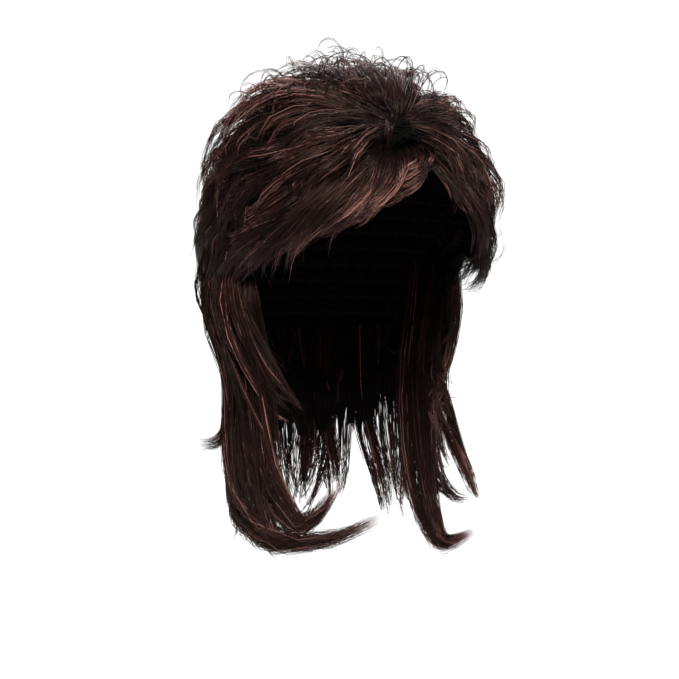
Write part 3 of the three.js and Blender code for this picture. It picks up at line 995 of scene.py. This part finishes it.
# %% Back
rng = np.random.default_rng(31)
tufts, wisps = 104, 3
bearing = rng.uniform(-70, 70, tufts)
drop = rng.uniform(0.16, 0.7, tufts) * cap_drop
lines = combed_lines(
    tufted(rng, bearing, wisps, 3.0),
    np.repeat(reach_of(bearing, drop), wisps) + rng.normal(0, 2.5, tufts * wisps),
    tufted(rng, rng.uniform(0.055, 0.076, tufts), wisps, 0.004),
    tufted(rng, rng.normal(0, 7, tufts), wisps, 3.0),
    rng.uniform(0.003, 0.006, tufts * wisps),
    tufted(rng, hair_rise * rng.uniform(0.5, 0.98, tufts), wisps, 0.002),
)
outwards = tufted(rng, rng.normal(0, 14, tufts), wisps, 8)
aside = tufted(rng, rng.normal(0, 18, tufts), wisps, 8)
lines = bend_tips(lines, outwards, aside)
points, wisp, t = comb_out(rng, lines, 13, 0.0054, 0.0020, 0.2, 0.6, 0.0012, stations=6)
tone = np.clip(tufted(rng, rng.normal(0.32, 0.15, tufts), wisps, 0.08), 0.0, 0.95)
back_parts = [strand_arrays(rng, points, wisp, t, fine_fibre, tone)]
hair_piece("back_strands", strand_mesh("back_strands", back_parts), "back_hair", hair_fibre)

# %% [markdown]
# ## The long hair
# Below the cap the hair hangs around the neck in a curtain that parts into locks. Some locks flick
# out at their tips, and two on the wearer's right swing forwards around the neck. The table's rows
# are the locks: where each hangs, how it leans and swings, how far it falls and curls up again,
# how far it stands off, how far, from where and how suddenly it flicks out and by what angle its
# tip hooks, its width, how far it runs to a point, and its share of the piece's hair.

# %% Table of locks
# turn, lean, swing, fall, curl, bulge, flick, flare, power, hook, width, point, share
lock_table = {
    "nape_hair_back": [
        (-27, 8, 0, 0.94, 0, 0.3, 0.2, 0, 3, 10, 1.05, 0.6, 1),
        (-14, -6, 0, 1, 0, 0.4, 0.3, 0, 3, 20, 1.05, 0.6, 1),
        (0, 5, 0, 0.95, 0, 0.3, 0.25, 0, 3, 10, 1.05, 0.6, 1),
        (13, -4, 0, 1, 0.02, 0.4, 0.35, 0, 3, 20, 1.05, 0.6, 1),
        (26, -5, 0, 0.93, 0, 0.3, 0.2, 0, 3, 10, 1.05, 0.6, 1),
    ],
    "nape_hair_right": [
        (-40, 5, 0, 0.95, 0, 0.35, 0.2, 0, 3, 10, 1, 0.6, 0.8),
        (-52, -12, -116, 1.07, 0.26, 0.45, 0.04, 0, 3, 0, 1.2, 0.95, 1.7),
        (-60, -6, 0, 1.0, 0, 0.3, 0.3, 0, 3, 0, 0.95, 0.6, 0.9),
        (-64, 2, 0, 0.64, 0, 0.3, 0.8, 0, 3.5, 25, 1.0, 0.85, 0.7),
        (-71, -12, 0, 0.98, 0, 0.35, 0.1, 0, 3, -5, 1, 0.6, 1),
        (-83, -24, -12, 1.04, 0.06, 0.3, 0.02, 0, 3, -5, 1, 0.7, 1.1),
        (-92, -26, -35, 1.00, 0.33, 0.25, 0.04, 0, 3, 0, 1.1, 0.95, 1.5),
    ],
    "nape_hair_left": [
        (41, 8, 0, 0.97, 0, 0.35, 0.35, 0, 3, 10, 1, 0.6, 0.8),
        (53, 12, 0, 1, 0, 0.3, 0.3, 0, 3, 10, 1, 0.6, 0.8),
        (71, 6, 14, 1.20, 0.22, 0.25, 0.9, 0.2, 2.2, 22, 1.15, 0.93, 1.8),
        (70, 4, 8, 0.95, 0.05, 0.2, 1.2, 0.3, 1.0, 10, 0.6, 0.94, 0.6),
        (78, 10, 0, 0.86, 0, 0.1, 1.45, 0.3, 0.7, -60, 0.6, 0.95, 1.0),
        (80, 4, 0, 0.45, 0, 0.4, 0.1, 0, 3, 0, 1, 0.8, 0.4),
    ],
}
print("locks:", {node: len(rows) for node, rows in lock_table.items()})

# %% [markdown]
# ## Hanging the long hair
# Each wisp picks a lock and follows its path around and down the neck. Wisps of one lock start side
# by side and join towards its tip. About a third belong to a shorter layer over the others, which
# starts a little higher and ends earlier, so that the curtain looks layered and not like a sheet.

# %% Long hair
mullet_drop = 0.165
flick_reach = 0.036
hair_mat = 0.009
nape_root = 0.84 * cap_drop - hair_mat
layered = 0.36


def nape_piece(name, node, seed, count, each):
    rng = np.random.default_rng(seed)
    table = np.array(lock_table[node])
    share = table[:, -1]
    chosen = rng.choice(len(table), count, p=share / share.sum())
    turn, lean, swing, fall, curl, bulge, flick, flare, power, hook, width, point, _ = [
        column[:, None] for column in table[chosen].T
    ]
    t = line_steps
    joining = 1 - point * ease(t, 0.3, 1.0)
    fall = fall * (1.01 - (1.0 - point + 0.02) * rng.uniform(0, 0.38, (count, 1)))
    flick = flick + rng.normal(0, 0.03, (count, 1))
    shorter = (rng.uniform(size=(count, 1)) < layered) * (np.abs(swing) < 20)
    lean = lean + shorter * np.sign(turn) * rng.uniform(-4, 16, (count, 1)) * (np.abs(turn) > 30)
    fall = fall * np.where(shorter, rng.uniform(0.3, 0.72, (count, 1)), 1)
    curl, flick = curl * (1 - shorter), flick * (1 - 0.75 * shorter)
    wave = 6 * np.sin(2 * math.pi * (t * 1.1 + turn * 0.13)) * t
    shake = rng.normal(0, 3.5, (count, 1))
    phase = rng.uniform(0, 0.25, (count, 1))
    wave = wave + shake * np.sin(2 * math.pi * (t * 0.8 + phase))
    path_turn = turn + lean * t + wave * (1 - 0.8 * point * t) + swing * ease(t, 0.45, 1.05)
    path_drop = nape_root - (0.026 + 0.026 * shorter) * (1 - t) ** 2 + mullet_drop * (
        fall * np.sin(t * math.pi / 2) - curl * ease(t, 0.66, 1.05)
    )
    stand = hair_rise * bulge * np.sin(np.clip((t - 0.08) / 0.76, 0, 1) * math.pi)
    flicked = flick_reach * flick * np.clip((t - flare) / (1 - flare), 0, 1) ** power
    base = hair_mat * mix(0.25, 0.6, ease(t, 0, 0.35))
    base = base + hair_mat * shorter * 0.55 * ease(t, 0, 0.25) * (1 - ease(t, 0.3, 0.8))
    lines = nape_point(path_turn, path_drop, base + stand + flicked)
    loose = (6 + 14 * shorter[:, 0]) * (1 - 0.75 * point[:, 0] * (1 - shorter[:, 0]))
    outwards = hook[:, 0] + rng.normal(0, 1, count) * loose
    lines = bend_tips(lines, outwards, rng.normal(0, 1, count) * loose, 0.6)
    _, outward, sideways = frames(lines)
    aside = rng.uniform(-1, 1, (count, 1)) * width * 0.0135 * joining
    proud = rng.uniform(-1, 1, (count, 1)) * 0.0042 * joining * ease(t, -0.1, 0.3)
    lines = lines + sideways * aside[..., None] + outward * proud[..., None]
    wide = 0.0048 * (1 - 0.5 * point[:, 0])
    points, wisp, t = comb_out(rng, lines, each, wide, 0.0018, 0.12, 0.74, 0.0011, stations=9)
    tone = np.clip(rng.normal(0.3, 0.16, count), 0.0, 0.95)
    parts = [strand_arrays(rng, points, wisp, t, fibre, tone)]
    hair_piece(name, strand_mesh(name, parts), node, hair_fibre)


nape_piece("nape_strands_back", "nape_hair_back", 41, 100, 15)
nape_piece("nape_strands_right", "nape_hair_right", 42, 180, 16)
nape_piece("nape_strands_left", "nape_hair_left", 43, 150, 15)
